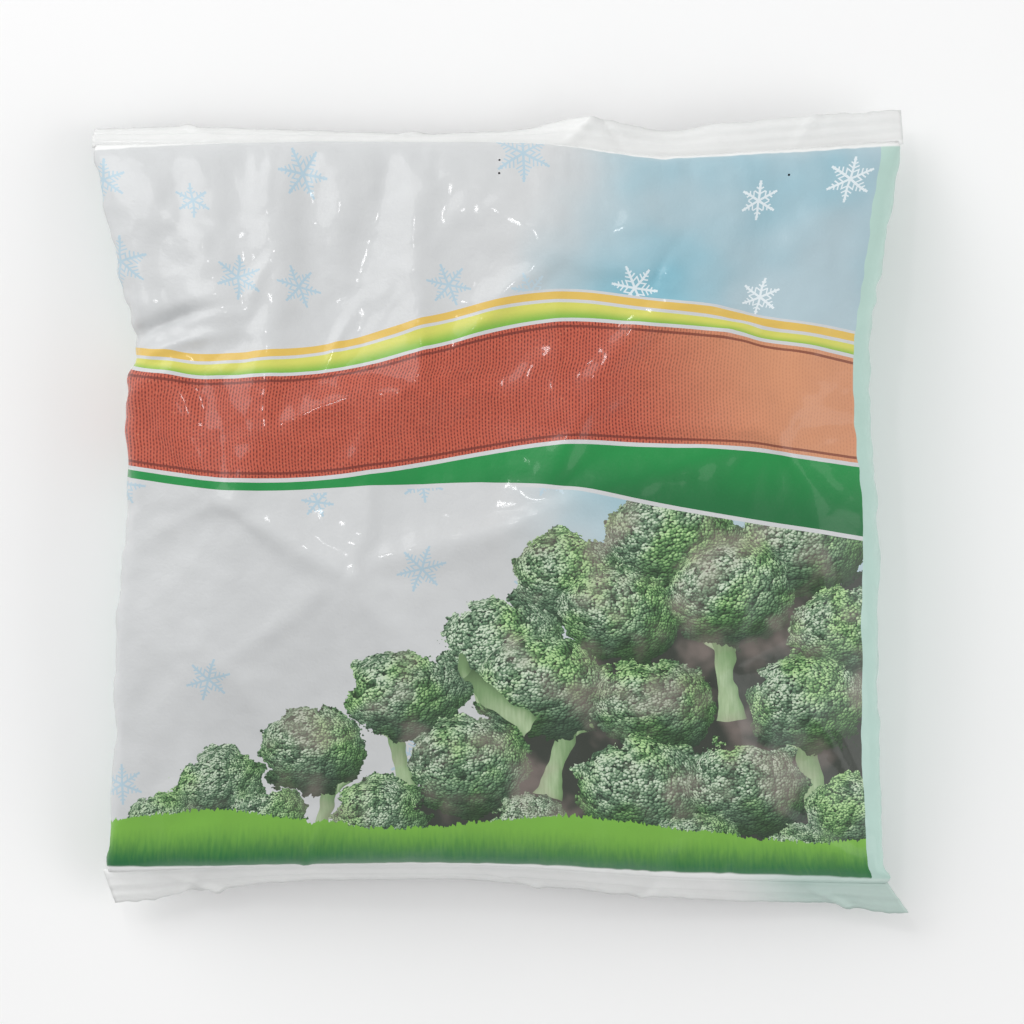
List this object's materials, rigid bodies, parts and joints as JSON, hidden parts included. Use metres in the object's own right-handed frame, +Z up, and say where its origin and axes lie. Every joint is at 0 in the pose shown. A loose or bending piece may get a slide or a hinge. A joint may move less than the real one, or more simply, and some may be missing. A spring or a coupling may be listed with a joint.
{
  "type": "pillow bag of frozen broccoli florets",
  "caption": "Sealed printed film pillow bag, plumped and creased, lying on its back, with crimped end seals and a folded back fin, filled with loose frozen broccoli florets.",
  "frame": {"origin": "bottom centre of the bag's box, on the surface that the bag lies on", "axes": "+Z up, out of the printed front; +Y towards the top seal; +X to the right of the printed front"},
  "size_m": [0.232, 0.2288, 0.057],
  "materials": {
    "printed_film": "glossy printed plastic film",
    "broccoli": null
  },
  "bodies": {
    "root": {"film": "printed_film", "floret_01": "broccoli", "floret_02": "broccoli", "floret_03": "broccoli", "floret_04": "broccoli", "floret_05": "broccoli", "floret_06": "broccoli", "floret_07": "broccoli", "floret_08": "broccoli", "floret_09": "broccoli", "floret_10": "broccoli", "floret_11": "broccoli", "floret_12": "broccoli", "floret_13": "broccoli", "floret_14": "broccoli", "floret_15": "broccoli", "floret_16": "broccoli", "floret_17": "broccoli", "floret_18": "broccoli", "floret_19": "broccoli"}
  },
  "joints": []
}
